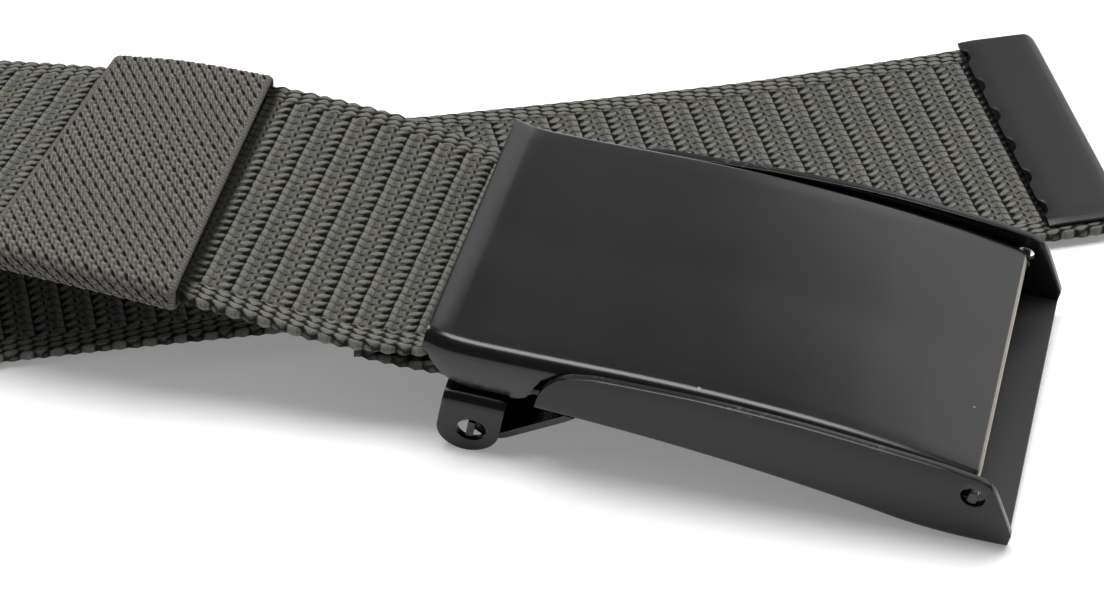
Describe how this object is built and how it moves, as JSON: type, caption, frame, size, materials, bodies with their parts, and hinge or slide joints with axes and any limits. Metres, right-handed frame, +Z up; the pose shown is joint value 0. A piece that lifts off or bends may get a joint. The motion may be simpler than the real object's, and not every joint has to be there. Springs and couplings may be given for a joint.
{
  "type": "tactical belt",
  "caption": "Ribbed webbing belt lying in an open loop, with a flip-cover buckle of pressed sheet on its fixed end, an elastic keeper and a crimped metal tip.",
  "frame": {"origin": "centre of the belt's footprint, on the surface it lies on", "axes": "+Z up from the surface, +X along the belt's length towards the buckle and the tip, +Y across towards the side the free end lies on"},
  "size_m": [0.5504, 0.1556, 0.0395],
  "materials": {
    "cover_coating": "satin dark grey coating",
    "frame_coating": "satin dark grey coating, worn on the edges",
    "lever_coating": "satin dark grey coating",
    "bar_coating": "satin dark grey coating",
    "webbing": "coarse cross-ribbed synthetic webbing, grey with a slight olive tint",
    "elastic": "fine knitted elastic, warm grey",
    "tip_coating": "satin dark grey coating"
  },
  "bodies": {
    "belt": {"webbing_strap": "webbing", "webbing_strap_side": "webbing", "webbing_strap_bend": "webbing", "webbing_strap_return": "webbing", "webbing_strap_tail": "webbing", "base_frame": "frame_coating", "strap_bar": "bar_coating", "elastic_keeper": "elastic", "strap_tip": "tip_coating"},
    "cover": {"cover": "cover_coating"},
    "clamp_lever": {"clamp_lever": "lever_coating"}
  },
  "joints": [
    {"name": "cover_flip", "type": "hinge", "parent": "belt", "child": "cover", "pos_m": [0.25405, -0.04464, 0.0093], "axis": [0.2535, 0.9661, 0.0481], "range_deg": [0, 100]},
    {"name": "lever_swing", "type": "hinge", "parent": "belt", "child": "clamp_lever", "pos_m": [0.19439, -0.02877, 0.00487], "axis": [0.2535, 0.9661, 0.0481], "range_deg": [0, 20]}
  ]
}
